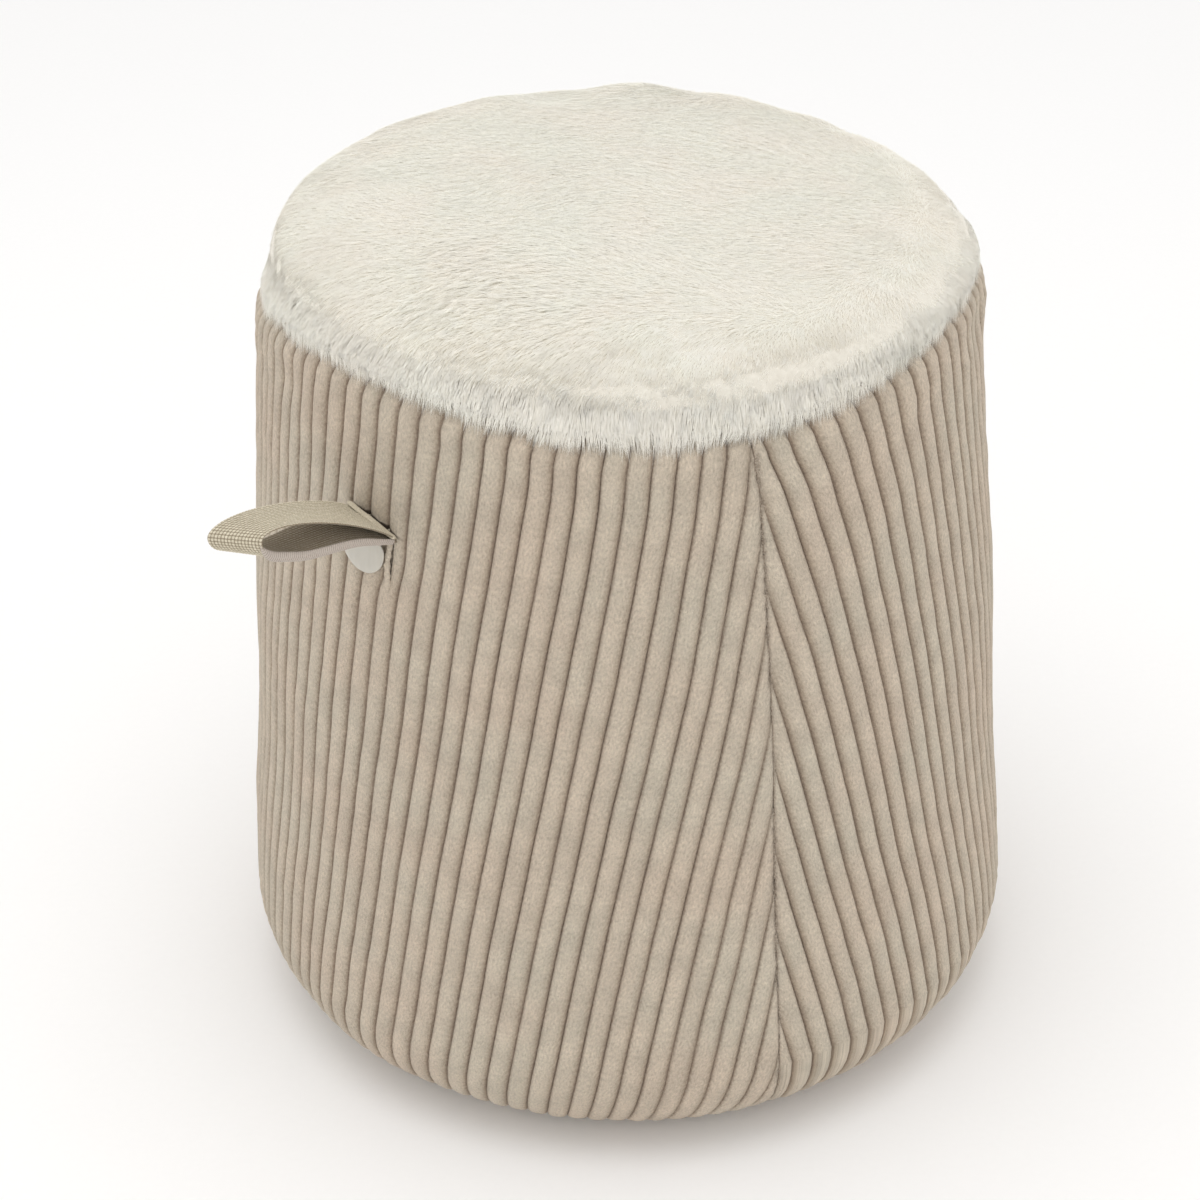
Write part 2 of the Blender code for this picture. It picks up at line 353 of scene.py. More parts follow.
def cover_rows():
    """Rows from the hem's edge, up the wall, to the end of the rolled rim, each as a stretch
    and a value. Stretch 0 is the turned-in hem, 1 the wall and 2 the rolled rim. On the wall
    the value is a height, and on the others it is a share of the turn."""
    hem = np.linspace(1.0, 0.0, 11)[:-1]
    heights = np.concatenate([np.linspace(*rows) for rows in WALL_ROWS])
    roll = np.linspace(0.0, 1.0, 11)[1:]
    stretch = np.repeat((0, 1, 2), (len(hem), len(heights), len(roll)))
    return stretch, np.concatenate((hem, heights, roll))


def rib_depth(off_middle):
    """Depth below the crown across one rib, from its middle (0) to the cleft (1): a flattened
    ellipse, one minus the root of one minus a power of the distance."""
    return RIB_DEPTH * (1.0 - np.sqrt(1.0 - off_middle**RIB_FLATNESS))


def seam_pull(to_seam, left, height):
    """How far the sewing has drawn the cloth to the left, in metres: nothing low down and
    more and more towards the rim, fading away from the seam, soonest on its right."""
    below = RIM_HEIGHT - height
    slow, quick = (pull * np.clip(1.0 - below / deep, 0.0, 1.0) ** 1.5
                   for pull, deep in (SLOW_PULL, QUICK_PULL))
    fades = np.where(left, PULL_FADES_LEFT, PULL_FADES_RIGHT)
    return (slow + quick) * np.exp(-((to_seam / fades) ** 2))


def beside_slit(bearing, height):
    """Metres to the left of the slit and above its top, along the wall."""
    round_to = (SLIT_BEARING - bearing + np.pi) % (2.0 * np.pi) - np.pi
    return round_to * cone_radius(height), height - SLIT_HEIGHT


def cover_points():
    """Rolls the flat panel up into the cover, and closes it to the middle of the underside
    and of the top. Returns the points, their places on the panel and their marks.

    A point's distance from the panel's centre, the slant, gives its height. Its angle there,
    the turn, gives its bearing: the sine of the turn is the distance across the ribs over
    the slant. Columns follow the ribs until they run into the seam, which holds them.
    """
    stretch, value = (row[:, None] for row in cover_rows())
    rib = np.arange(FIRST_RIB, LAST_RIB)[:, None] + np.array(RIB_SAMPLES)
    rib = np.append(rib.ravel(), LAST_RIB)[None, :]
    phase = rib - np.floor(rib)
    slip = RIGHT_PHASE + (LEFT_PHASE - RIGHT_PHASE) * smooth_step(rib, -15.0, 15.0)
    across = RIB_PITCH * rib + slip
    left = across > 0.0

    hem, wall, roll = stretch == 0, stretch == 1, stretch == 2
    height = np.where(wall, value, np.where(hem, EDGE_ROUNDING, RIM_HEIGHT - RIM_ROLL))
    slant = (FOOT_RADIUS - TAPER * height) / SIN_CONE
    hem_path = 0.5 * np.pi * EDGE_ROUNDING * value
    slant = slant + np.where(hem & left, hem_path, 0.0)
    slant = slant - np.where(roll, 0.5 * np.pi * RIM_ROLL * value, 0.0)
    bearing = SEAM_BEARING + np.pi + np.arcsin(np.clip(across / slant, -0.23, 0.23)) / SIN_CONE
    rough = round_points(0.16, bearing, height)
    wander = 0.0004 * drift(rough, 0.11, 1) + 0.00012 * drift(rough, 0.03, 2)
    aside, above = beside_slit(bearing, height)
    beside = ((aside - 0.009) / 0.010) ** 2 + ((above + 0.012) / 0.010) ** 2
    wander = wander + SLIT_SPREAD * np.exp(-beside)
    across = across + wander * smooth_step(HALF_PANEL * slant - np.abs(across), 0.0, 0.02)
    limit = slant * np.sin(HALF_PANEL)
    to_seam = limit - np.abs(across)
    across = np.clip(across, -limit, limit)
    turn = np.arcsin(across / slant)
    bearing = SEAM_BEARING + np.pi + turn / SIN_CONE
    bearing = bearing - seam_pull(np.maximum(to_seam, 0.0), left, height) / cone_radius(height)

    share = np.clip((height - EDGE_ROUNDING) / (RIM_HEIGHT - EDGE_ROUNDING), 0.0, 1.0)
    height = height + share**2 * rim_wave(bearing)
    crown = cone_radius(height)
    place = round_points(crown, bearing, height)

    off_middle = np.abs(2.0 * phase - 1.0)
    fullness = 1.0 + 0.12 * drift(place, 0.035, 3) + 0.08 * np.sin(7.3 * np.floor(rib) + rib**2)
    by_seam = np.exp(-np.maximum(to_seam, 0.0) / SEAM_HOLDS)
    held = 1.0 - 0.75 * by_seam
    relief = -rib_depth(off_middle) * fullness * held
    relief -= SEAM_SINK * by_seam * (1.0 + 0.25 * np.sin(slant / SEAM_STITCH))
    relief += 0.0006 * drift(place, 0.11, 4) + 0.00022 * drift(place, 0.02, 5)
    below_rim = RIM_HEIGHT + rim_wave(bearing) - height
    relief += 0.0008 * np.exp(-((below_rim - 0.020) / 0.012) ** 2) * drift(place, 0.03, 6)

    aside, above = beside_slit(bearing, height)
    tug = np.exp(-(aside**2 + (above + 0.004) ** 2) / TUG_REACH**2)
    relief -= SLIT_TUG * tug

    tuck = np.where(hem, value, 0.0)
    angle = 0.5 * np.pi * tuck
    relief = relief * (1.0 - tuck**2)
    underside = BASE_HIGH.z + 0.0003
    hem_radius = cone_radius(EDGE_ROUNDING) - EDGE_ROUNDING
    radius = np.where(hem, hem_radius + (EDGE_ROUNDING + relief) * np.cos(angle),
                      crown + relief)
    height = np.where(
        hem, EDGE_ROUNDING - (EDGE_ROUNDING - underside + relief) * np.sin(angle), height
    )
    over = np.where(roll, value, 0.0) * ROLL_TURN
    roll_reach = RIM_ROLL + relief * (1.0 - 0.55 * np.where(roll, value, 0.0) ** 2)
    radius = np.where(roll, crown - RIM_ROLL + roll_reach * np.cos(over), radius)
    height = np.where(roll, height + roll_reach * np.sin(over), height)
    points = round_points(radius, bearing, height)
    points[:, -1] = points[:, 0]

    middle = np.zeros_like(points[:1])
    under, top = middle.copy(), middle.copy()
    under[..., 2] = underside
    top[..., 2] = RIM_HEIGHT - 0.004
    points = np.concatenate((under, points, top))
    flat = np.stack(np.broadcast_arrays(across, slant), axis=-1)
    # Painted shade: the clefts are marked to be darkened to the groove colour, and the seam mark
    # below does the same along the sewn seam.
    cleft = np.clip((off_middle - 0.70) / 0.30, 0.0, 1.0) ** 1.6 * (1.0 - 0.8 * by_seam)
    # Painted shade: the flank of a leaning rib that faces down is marked to be darkened, as an
    # overhead light would shade it.
    painted_flank_shade = smooth_step(off_middle, 0.15, 0.95) * held
    painted_flank_shade = painted_flank_shade * np.clip(np.sign(phase - 0.5) * turn / HALF_PANEL, 0.0, 1.0)
    flat, cleft, painted_flank_shade, seam = (np.concatenate((values[:1], values, values[-1:]))
                              for values in (flat, cleft, painted_flank_shade, by_seam))
    return points, flat, {"cleft": cleft, "painted_flank_shade": painted_flank_shade, "seam": seam}


def on_panel(aside, above):
    """Where a point of the wall, given from the slit's top, lies on the flat panel: its
    distance across the ribs and its slant. The rim's wave is taken off its height first."""
    height = SLIT_HEIGHT + above
    bearing = SLIT_BEARING - aside / cone_radius(height)
    share = (height - EDGE_ROUNDING) / (RIM_HEIGHT - EDGE_ROUNDING)
    height = height - share**2 * rim_wave(bearing)
    slant = (FOOT_RADIUS - TAPER * height) / SIN_CONE
    turn = SIN_CONE * ((bearing - SEAM_BEARING) % (2.0 * np.pi) - np.pi)
    return np.array((slant * np.sin(turn), slant))


def cut_mark(tree, flat, start, end, half_width):
    """A long thin ellipse round a cut in the panel, 1 inside and 0 outside: the length of the
    place on the panel, moved to the cut's middle, turned along it and divided by its halves."""
    start, end = on_panel(*start), on_panel(*end)
    middle, half = 0.5 * (start + end), 0.5 * (end - start)
    cut = add(tree, "ShaderNodeMapping", {
        "Vector": flat, "Location": (*middle, 0.0),
        "Rotation": (0.0, 0.0, np.arctan2(half[1], half[0])),
        "Scale": (np.hypot(*half), half_width, 1.0),
    }, vector_type="TEXTURE")
    off = add(tree, "ShaderNodeVectorMath", {0: cut.outputs[0]}, operation="LENGTH")
    return spread(tree, off.outputs["Value"], 0.75, 1.35, 1.0, 0.0)


def corduroy_finish():
    """Polyester corduroy with a dense cut pile, dyed stone beige: matt crowns that catch a pale
    sheen, painted shade in the clefts and along the seam, painted shade on the rib flanks that
    face down, painted shade in the cut slot and slit, and soft patches where it was stroked
    another way."""
    material, tree, shader = finish_named(
        "stone beige corduroy", Roughness=0.92, Sheen_Weight=0.25, Sheen_Roughness=0.45,
        Sheen_Tint=linear(NAP_SHEEN), Specular_IOR_Level=0.25,
    )
    place = coordinates(tree)
    flat = add(tree, "ShaderNodeUVMap", uv_map="flat").outputs["UV"]

    patch = spread(tree, noise(tree, place, 0.045, 2.0, 0.55), 0.36, 0.64)
    crest = mixed(tree, 0.45, RIB_CREST, mixed(tree, patch, NAP_GREY, NAP_PINK))
    # Painted shade on the rib flanks that face down.
    painted_flank_shade = maths(tree, "MULTIPLY", mark(tree, "painted_flank_shade"), 0.75)
    shaded = mixed(tree, painted_flank_shade, crest, RIB_FLANK_SHADE)

    fibres = add(tree, "ShaderNodeMapping",
                 {"Vector": flat, "Scale": (1.0 / 0.0009, 1.0 / 0.0017, 1.0)})
    nap = noise(tree, fibres.outputs[0], 1.0, 4.0, 0.65)
    crushed = spread(tree, noise(tree, place, 0.011), 0.30, 0.70, 0.91, 1.08)
    speck = maths(tree, "MULTIPLY", spread(tree, nap, 0.30, 0.70, 0.76, 1.20), crushed)
    napped = vector_maths(tree, "MULTIPLY", shaded, speck)

    # Painted shade: the clefts and the seam line are darkened to the groove colour.
    ragged = spread(tree, nap, 0.3, 0.7, 1.15, 0.55)
    cleft = maths(tree, "MULTIPLY", mark(tree, "cleft"), ragged, use_clamp=True)
    seam = maths(tree, "POWER", mark(tree, "seam"), 7.0)
    seam = maths(tree, "MULTIPLY", seam, ragged, use_clamp=True)
    with_groove_shade = mixed(tree, seam, mixed(tree, cleft, napped, RIB_GROOVE_SHADE), RIB_GROOVE_SHADE)

    # Painted shade: the cut slot and slit are painted dark where they open; noise frays the
    # painted edges.
    frayed = add(tree, "ShaderNodeTexNoise", {"Vector": place, "Scale": 1.0 / 0.0015})
    frayed = vector_maths(tree, "SUBTRACT", frayed.outputs["Color"], (0.5, 0.5, 0.5))
    frayed = vector_maths(tree, "MULTIPLY", frayed, (0.0008, 0.0008, 0.0))
    frayed = vector_maths(tree, "ADD", flat, frayed)
    rise = SLOT_RISE * np.array((-SLOT_ACROSS[1], SLOT_ACROSS[0])) / np.hypot(*SLOT_ACROSS)
    slot = cut_mark(tree, frayed, rise, SLOT_ACROSS + rise, SLOT_OPEN)
    slit = cut_mark(tree, frayed, (0.0008, 0.001), (0.0010 + 0.1 * SLIT_LENGTH, -SLIT_LENGTH),
                    SLIT_OPEN)
    coloured = mixed(tree, maths(tree, "MAXIMUM", slot, slit), with_groove_shade, PAINTED_CUT_SHADE)

    height = maths(tree, "ADD", nap, noise(tree, place, 0.0006, 3.0))
    link_finish(tree, shader, coloured, height, 0.9, 0.0008)
    return material


cover = surface("corduroy_cover", *cover_points())
cover.data.materials.append(corduroy_finish())
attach(cover, "root")
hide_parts("corduroy_drum")


# --------------------------------------------------------------------------- Seam and slit
# The panel's two edges are sewn together with one row of lockstitch from inside. Along it
# and round the cut slit the corduroy's cut fibres poke out, and the slit's left lip curls.

SEAM_TUFTS = 1500
SLIT_TUFTS = 110
TUFT_LENGTH = 0.0019
TUFT_WIDTH = 0.00022
TUFT_TIP = "#cbbdab"
TUFT_ROOT = "#8f7d6c"


def blade_points(root, way, normal, length, width, stand, drawn=0.0):
    """Each blade is five points: a pair at the root, a pair half-way and a tip. It rises from
    the cloth at the angle stand, bends over towards its tip, and drawn moves the tip aside."""
    across = np.cross(normal, way)
    half = root + length * 0.5 * (np.cos(stand) * way + 1.25 * np.sin(stand) * normal)
    tip = root + length * (np.cos(0.5 * stand) * way + 1.1 * np.sin(0.5 * stand) * normal)
    side = 0.5 * width * across
    low = root - 0.0005 * normal
    half = half + 0.45 * drawn
    return np.stack((low - side, low + side, half + 0.8 * side, half - 0.8 * side, tip + drawn), 1)


def blades(name, points, normals, painted_shade_and_mottle=0.0):
    """Makes one object of five-point blades, each a quad and a triangle, with the cloth's
    normals, so that they shade as one soft surface. The last argument is each blade's share of
    painted shade, mixed with random mottle, and becomes an attribute."""
    count = len(points)
    corner_verts = 5 * np.arange(count)[:, None] + (1, 0, 3, 2, 2, 3, 4)
    mesh = new_mesh(name, points, corner_verts.ravel(), np.tile((4, 3), count))
    set_marks(mesh, {"along_fibre": np.tile((0.0, 0.0, 0.6, 0.6, 1.0), count),
                     "painted_shade_and_mottle": np.repeat(painted_shade_and_mottle + np.zeros(count), 5)})
    mesh.update(calc_edges=True)
    mesh.shade_smooth()
    mesh.normals_split_custom_set_from_vertices(np.repeat(normals, 5, axis=0).astype(np.float32))
    return placed(name, mesh)


def wall_frame(bearing, height):
    """The axes out, left and up of points on the wall, each as an array, and the points."""
    out = round_points(np.ones_like(bearing), bearing, 0.0 * bearing)
    up = np.broadcast_to((0.0, 0.0, 1.0), out.shape)
    return out, np.cross(out, up), up, round_points(cone_radius(height), bearing, height)


def tuft_points():
    """Tufts at random heights on the seam and on both sides of the slit, each lying along the
    wall in a random direction, and their normals."""
    chance = np.random.default_rng(41)
    on_seam = np.arange(SEAM_TUFTS + SLIT_TUFTS) < SEAM_TUFTS
    height = chance.uniform(0.03, RIM_HEIGHT - 0.012, len(on_seam))
    drop = chance.uniform(0.0, SLIT_LENGTH, len(on_seam))
    height = np.where(on_seam, height, SLIT_HEIGHT - drop)
    aside = np.where(on_seam, 0.0004, 0.0009) * chance.normal(size=len(on_seam))
    aside = aside + np.where(on_seam, 0.0, 0.0010 + 0.10 * drop)
    aside = aside + np.where(on_seam, seam_pull(0.0, True, height), 0.0)
    bearing = np.where(on_seam, SEAM_BEARING, SLIT_BEARING) - aside / cone_radius(height)
    out, left, up, root = wall_frame(bearing, height)
    turn = chance.uniform(0.0, 2.0 * np.pi, (len(height), 1))
    way = np.cos(turn) * left + np.sin(turn) * up
    length = TUFT_LENGTH * chance.uniform(0.4, 1.1, turn.shape)
    stand = chance.uniform(0.15, 0.9, turn.shape)
    points = blade_points(root - 0.0011 * out, way, out, length, TUFT_WIDTH, stand)
    return points, out


def fibre_finish(name, root, tip, tone=None, through=0.0):
    """Polyester pile fibres: matt, darker at the root where less light comes, and pale at the
    tip. tone is a function that turns the tip's colour, and through is the share of light
    that goes on through a fibre instead of back from it."""
    material, tree, shader = finish_named(
        name, Roughness=0.75, Sheen_Weight=0.25, Sheen_Roughness=0.5, Specular_IOR_Level=0.2
    )
    tip = linear(tip) if tone is None else tone(tree, linear(tip))
    coloured = mixed(tree, mark(tree, "along_fibre"), root, tip)
    tree.links.new(coloured, shader.inputs["Base Color"])
    if through > 0.0:
        beyond = add(tree, "ShaderNodeBsdfTranslucent", {"Color": coloured})
        both = add(tree, "ShaderNodeMixShader", {0: through, 1: shader.outputs[0],
                                                 2: beyond.outputs[0]})
        tree.links.new(both.outputs[0], tree.nodes["Material Output"].inputs["Surface"])
    return material


tufts = blades("seam_and_slit_tufts", *tuft_points())
tufts.data.materials.append(fibre_finish("stone beige corduroy fibres", TUFT_ROOT, TUFT_TIP))
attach(tufts, "root")


def tube(name, line, aside, wide, tall, sides=16, marks=None):
    """Carries a closed oval along a line. At each point the oval's half width lies along
    aside, made square to the line, and its half height square to both. The halves go to
    nothing at the ends, which closes them. wide and tall may vary round the oval too."""
    forward = np.gradient(line, axis=0)
    forward /= np.linalg.norm(forward, axis=1, keepdims=True)
    across = aside - forward * (aside * forward).sum(axis=1, keepdims=True)
    across /= np.linalg.norm(across, axis=1, keepdims=True)
    square = np.cross(forward, across)
    around = np.linspace(0.0, 2.0 * np.pi, sides + 1)[None, :]
    points = line[:, None] + across[:, None] * (wide * np.cos(around))[..., None]
    points = points + square[:, None] * (tall * np.sin(around))[..., None]
    points[:, -1] = points[:, 0]
    travelled = np.cumsum(np.linalg.norm(np.gradient(line, axis=0), axis=1))[:, None]
    flat = np.stack(np.broadcast_arrays(travelled, around * np.mean(wide)), axis=-1)
    return surface(name, points, flat, marks)


def round_ends(share, part):
    """Rises as a quarter circle from 0 to 1 over part of a line at each end."""
    near_end = np.clip(np.minimum(share, 1.0 - share) / part, 0.0, 1.0)
    return np.sqrt(1.0 - (1.0 - near_end) ** 2)


def lip_line(share):
    """The slit's left lip: down beside the slit, bowed a little outwards, with a slow wave."""
    drop = 0.0005 + (SLIT_LENGTH + 0.0012) * share
    aside = 0.0024 + 0.10 * drop + 0.0004 * np.sin(5.0 * share)
    height = SLIT_HEIGHT - drop
    bearing = SLIT_BEARING - aside / cone_radius(height)
    out, left, _, point = wall_frame(bearing, height)
    return point + out * (0.0001 + 0.0009 * np.sin(np.pi * share))[:, None], left


lip_share = np.linspace(0.0, 1.0, 50)
lip_middle, lip_aside = lip_line(lip_share)
lip_full = (round_ends(lip_share, 0.12) * (1.0 + 0.15 * np.sin(31.0 * lip_share)))[:, None]
slit_lip = tube("slit_lip", lip_middle, lip_aside, 0.0013 * lip_full, 0.0009 * lip_full)
slit_lip.data.materials.append(cover.data.materials[0])
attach(slit_lip, "root")


# ------------------------------------------------------------------------------- Plush pad
# The lid is a foam pad under long-pile plush. The foam swells the cloth into a soft dome,
# squared off at the shoulder, that sits in the rolled rim and is thicker on the left.

PAD_RADIUS = 0.1500
PAD_SIDE = 0.0265
PAD_LEFT_EXTRA = 0.0048
PAD_CROWN = 0.0086
PAD_SQUARENESS = 0.25
PILE_DEPTH = 0.0016
SEAT_GAP = 0.0006
PAD_TUCK = 0.0045
PAD_VOXEL = 0.005
PAD_PRESSURE = 4.0
PAD_SWELL = 0.0035
PAD_STEPS = 20
HELD_BELOW = 0.006

PLUSH_TIP = "#fcfaf3"
PLUSH_ROOT = "#f8f5ed"
PLUSH_GROUND = "#cac4b7"
PLUSH_BACKING = "#dad4c7"
# The next colour is painted shade, mixed in over the pad's shoulder.
PLUSH_SHADE = "#eee9dd"
PLUSH_WARM = "#fcf6ec"
PLUSH_COOL = "#f6f8ee"
PATCH_SHARE = 0.33


def pad_points(inset):
    """A squared-off dome: radius and height are the cosine and sine of a latitude, each
    raised to a power under one, so the top is flat and the shoulder is full. Its foot is
    tucked in and follows the wavy rim."""
    latitude = np.linspace(0.0, 0.5 * np.pi, 26)[:, None]
    bearing = np.linspace(0.0, 2.0 * np.pi, 121)[None, :]
    inward = np.cos(latitude) ** PAD_SQUARENESS
    inward[-1] = 0.0
    raised = np.sin(latitude) ** PAD_SQUARENESS
    radius = np.maximum((PAD_RADIUS - inset) * inward - PAD_TUCK * (1.0 - raised) ** 3, 0.0)
    foot = SEAT_GAP + rim_wave(bearing) * radius / RIM_RADIUS
    side = PAD_SIDE - PAD_LEFT_EXTRA * np.sin(bearing) * radius / PAD_RADIUS
    crown = PAD_CROWN * (1.0 - inward**2)
    height = RIM_HEIGHT + foot * (1.0 - raised) + (side + crown - inset) * raised
    points = round_points(radius, bearing, height)
    points[:, -1] = points[:, 0]
    under = np.zeros_like(points[:1])
    under[..., 2] = RIM_HEIGHT + SEAT_GAP
    return np.concatenate((under, points))


def swell(piece):
    """Blows the closed piece up as stuffed cloth: remesh to even quads, hold what lies on the
    drum, run Cloth with pressure and no gravity, and limit how far each point moves."""
    remesh = piece.modifiers.new("even_quads", "REMESH")
    remesh.mode = "VOXEL"
    remesh.voxel_size = PAD_VOXEL
    piece.data = bpy.data.meshes.new_from_object(
        piece.evaluated_get(bpy.context.evaluated_depsgraph_get())
    )
    piece.modifiers.clear()
    mesh = piece.data
    start = np.empty(3 * len(mesh.vertices), np.float32)
    mesh.vertices.foreach_get("co", start)
    start = start.reshape(-1, 3)
    bearing = np.arctan2(start[:, 0], -start[:, 1])
    lift = start[:, 2] - RIM_HEIGHT - rim_wave(bearing) * np.hypot(*start.T[:2]) / RIM_RADIUS
    held = piece.vertex_groups.new(name="held")
    held.add(np.flatnonzero(lift < HELD_BELOW).tolist(), 1.0, "REPLACE")

    cloth = piece.modifiers.new("stuffing", "CLOTH")
    cloth.settings.use_pressure = True
    cloth.settings.uniform_pressure_force = PAD_PRESSURE
    cloth.settings.vertex_group_mass = "held"
    cloth.settings.effector_weights.gravity = 0.0
    cloth.point_cache.frame_start, cloth.point_cache.frame_end = 1, PAD_STEPS
    for step in range(1, PAD_STEPS + 1):
        bpy.context.scene.frame_set(step)
    settled = piece.evaluated_get(bpy.context.evaluated_depsgraph_get()).data
    moved = np.empty(3 * len(settled.vertices), np.float32)
    settled.vertices.foreach_get("co", moved)
    shift = moved.reshape(-1, 3) - start
    length = np.linalg.norm(shift, axis=1, keepdims=True)
    shift *= np.minimum(1.0, PAD_SWELL / np.maximum(length, 1e-9))
    piece.modifiers.clear()
    piece.vertex_groups.clear()
    mesh.vertices.foreach_set("co", (start + shift).astype(np.float32).ravel())
    mesh.update()
    bpy.context.scene.frame_set(1)


def plush_patches(tree, tip):
    """Mixes a third of a faint pinkish or greenish cream into the tip's colour, in soft
    patches about 30 mm wide, as pressed and brushed plush shows. Over the pad's shoulder it
    mixes in the shade colour, painted shade, with some random mottle."""
    patch = spread(tree, noise(tree, coordinates(tree), 0.03), 0.35, 0.65)
    tinted = mixed(tree, PATCH_SHARE, tip, mixed(tree, patch, PLUSH_COOL, PLUSH_WARM))
    # Painted shade over the pad's shoulder, with random mottle.
    painted_shade_and_mottle = add(tree, "ShaderNodeClamp", {0: mark(tree, "painted_shade_and_mottle")}).outputs[0]
    return mixed(tree, painted_shade_and_mottle, tinted, PLUSH_SHADE)


def plush_ground_finish():
    """The knitted ground of cream polyester plush, seen between its locks: matt and curly."""
    material, tree, shader = finish_named("cream plush ground", Roughness=0.8,
                                          Sheen_Weight=0.2, Specular_IOR_Level=0.2)
    curls = noise(tree, coordinates(tree), 0.0025, 4.0)
    backing = plush_patches(tree, linear(PLUSH_BACKING))
    link_finish(tree, shader, mixed(tree, curls, PLUSH_GROUND, backing), curls, 0.5, 0.0006)
    return material


pad = surface("plush_cushion", pad_points(PILE_DEPTH + ((0.5 * PAD_SWELL))))
swell(pad)
pad.data.materials.append(plush_ground_finish())
pad.data.shade_smooth()
smoothing = pad.modifiers.new("smoothing", "SMOOTH")
smoothing.factor, smoothing.iterations = 0.5, 8
rounding = pad.modifiers.new("rounding", "SUBSURF")
rounding.levels = rounding.render_levels = 1
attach(pad, "root")
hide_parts("plush_pad")


# -------------------------------------------------------------------------------- The pile
# The plush's fibres are cut to one length, combed over, and hang over the rim as a fringe.
# Each blade stands for a lock of a few fibres, and they are in four pieces, a quarter each.

LOCKS = 188000
LOCK_LENGTH = 0.0085
LOCK_WIDTH = 0.00031
LOCK_STAND = np.radians(2.6)
RAISED_SHARE = 0.03
LOCK_STRAY = 0.17
# How far the combing turns, in radians, and how wide the swirls are.
WIDE_SWIRL, FINE_SWIRL = (0.32, 0.090), (0.07, 0.024)
FRINGE_BAND = (0.003, 0.021)
FRINGE_REACH = (0.128, 0.143)
SHOULDER_RADIUS = 0.0100
SHOULDER_STARTS = 0.1375
FRINGE_DROP = 1.5
FRINGE_HANG = 0.0060
FRINGE_ASIDE = 0.0032
STRETCH_SIZE, CLUMP_SIZE = 0.024, 0.006
GATHER_SIZE = 0.0055
DRAWN_ASIDE = 0.00016
THROUGH_SHARE = 0.28
CURLS_AT = np.array((-0.06, -0.105, 0.365))
CURLS_REACH = 0.05


def above_rim(places):
    """How far points are above the wavy rim at their bearings."""
    bearing = np.arctan2(places[:, 0], -places[:, 1])
    return places[:, 2] - RIM_HEIGHT - rim_wave(bearing)


def by_rim(places):
    """1 at the foot of the pad's side, and 0 above the fringe band and on the pad's top."""
    reach = np.hypot(places[:, 0], places[:, 1])
    low = 1.0 - smooth_step(above_rim(places), *FRINGE_BAND)
    return low * smooth_step(reach, *FRINGE_REACH)


def scatter(piece, count, seed):
    """Random places on a mesh and their normals. A triangle's chance is its area, a little
    over doubled just above the rim and nothing where it faces down. The place in it comes
    from two random shares of its sides, folded back into the triangle."""
    shown = piece.evaluated_get(bpy.context.evaluated_depsgraph_get()).to_mesh()
    places = np.empty(3 * len(shown.vertices), np.float32)
    normals = np.empty_like(places)
    shown.vertices.foreach_get("co", places)
    shown.vertices.foreach_get("normal", normals)
    shown.calc_loop_triangles()
    triangles = np.empty(3 * len(shown.loop_triangles), np.int32)
    shown.loop_triangles.foreach_get("vertices", triangles)
    places, normals = places.reshape(-1, 3), normals.reshape(-1, 3)
    triangles = triangles.reshape(-1, 3)
    piece.evaluated_get(bpy.context.evaluated_depsgraph_get()).to_mesh_clear()

    corner, second, third = (places[triangles[:, i]] for i in range(3))
    area = np.linalg.norm(np.cross(second - corner, third - corner), axis=1)
    facing = normals[triangles].mean(axis=1)[:, 2]
    area = area * (facing > -0.35) * (1.0 + 1.2 * by_rim(corner))
    chance = np.random.default_rng(seed)
    chosen = chance.choice(len(triangles), count, p=area / area.sum())
    share = chance.random((count, 2))
    share = np.where(share.sum(axis=1, keepdims=True) > 1.0, 1.0 - share, share)
    weights = np.stack((1.0 - share.sum(axis=1), share[:, 0], share[:, 1]), axis=1)[..., None]
    root = (places[triangles[chosen]] * weights).sum(axis=1)
    normal = (normals[triangles[chosen]] * weights).sum(axis=1)
    return root, normal / np.linalg.norm(normal, axis=1, keepdims=True)


def combed(root, normal):
    """The way the locks are combed: to the left on top, turned by slow swirls, and outwards
    and down near the rim. Where two ways cancel it is short, and a lock lies as it happens."""
    out = root * (1.0, 1.0, 0.0)
    reach = np.linalg.norm(out, axis=1, keepdims=True)
    out = out / np.maximum(reach, 1e-6)
    swirl = WIDE_SWIRL[0] * drift(root, WIDE_SWIRL[1], 11)
    swirl = swirl + FINE_SWIRL[0] * drift(root, FINE_SWIRL[1], 12)
    lay = np.stack((-np.cos(swirl), -np.sin(swirl), np.zeros_like(swirl)), axis=1)
    edge = smooth_step(reach, 0.10, 0.142)
    side = smooth_step(-normal[:, 2:], -0.75, -0.2)
    way = lay * (1.0 - 0.55 * edge) + out * 1.1 * edge
    return way - side * FRINGE_DROP * UP


def draped(root, normal, way, length):
    """How far a lock leaves its straight line by lying round the pad's shoulder. Past where
    the shoulder starts it follows a circle, from the slope at its root to upright, and then
    hangs: the step along that line less the straight step."""
    out = root * (1.0, 1.0, 0.0)
    reach = np.linalg.norm(out, axis=1)
    out = out / np.maximum(reach, 1e-6)[:, None]
    lean = (normal * out).sum(axis=1)
    slope = np.clip(np.arctan2(lean, normal[:, 2]), 0.0, 0.5 * np.pi)
    steep = normal[:, 2:] * out - lean[:, None] * UP
    step = length[:, 0] * (way * steep).sum(axis=1)
    step = np.maximum(step - np.maximum(SHOULDER_STARTS - reach, 0.0), 0.0)
    turned = np.minimum(step / SHOULDER_RADIUS, 0.5 * np.pi - slope)
    away = SHOULDER_RADIUS * (np.sin(slope + turned) - np.sin(slope)) - step * np.cos(slope)
    down = SHOULDER_RADIUS * (np.cos(slope) - np.cos(slope + turned)) - step * np.sin(slope)
    down = down + step - SHOULDER_RADIUS * turned
    return away[:, None] * out - down[:, None] * UP


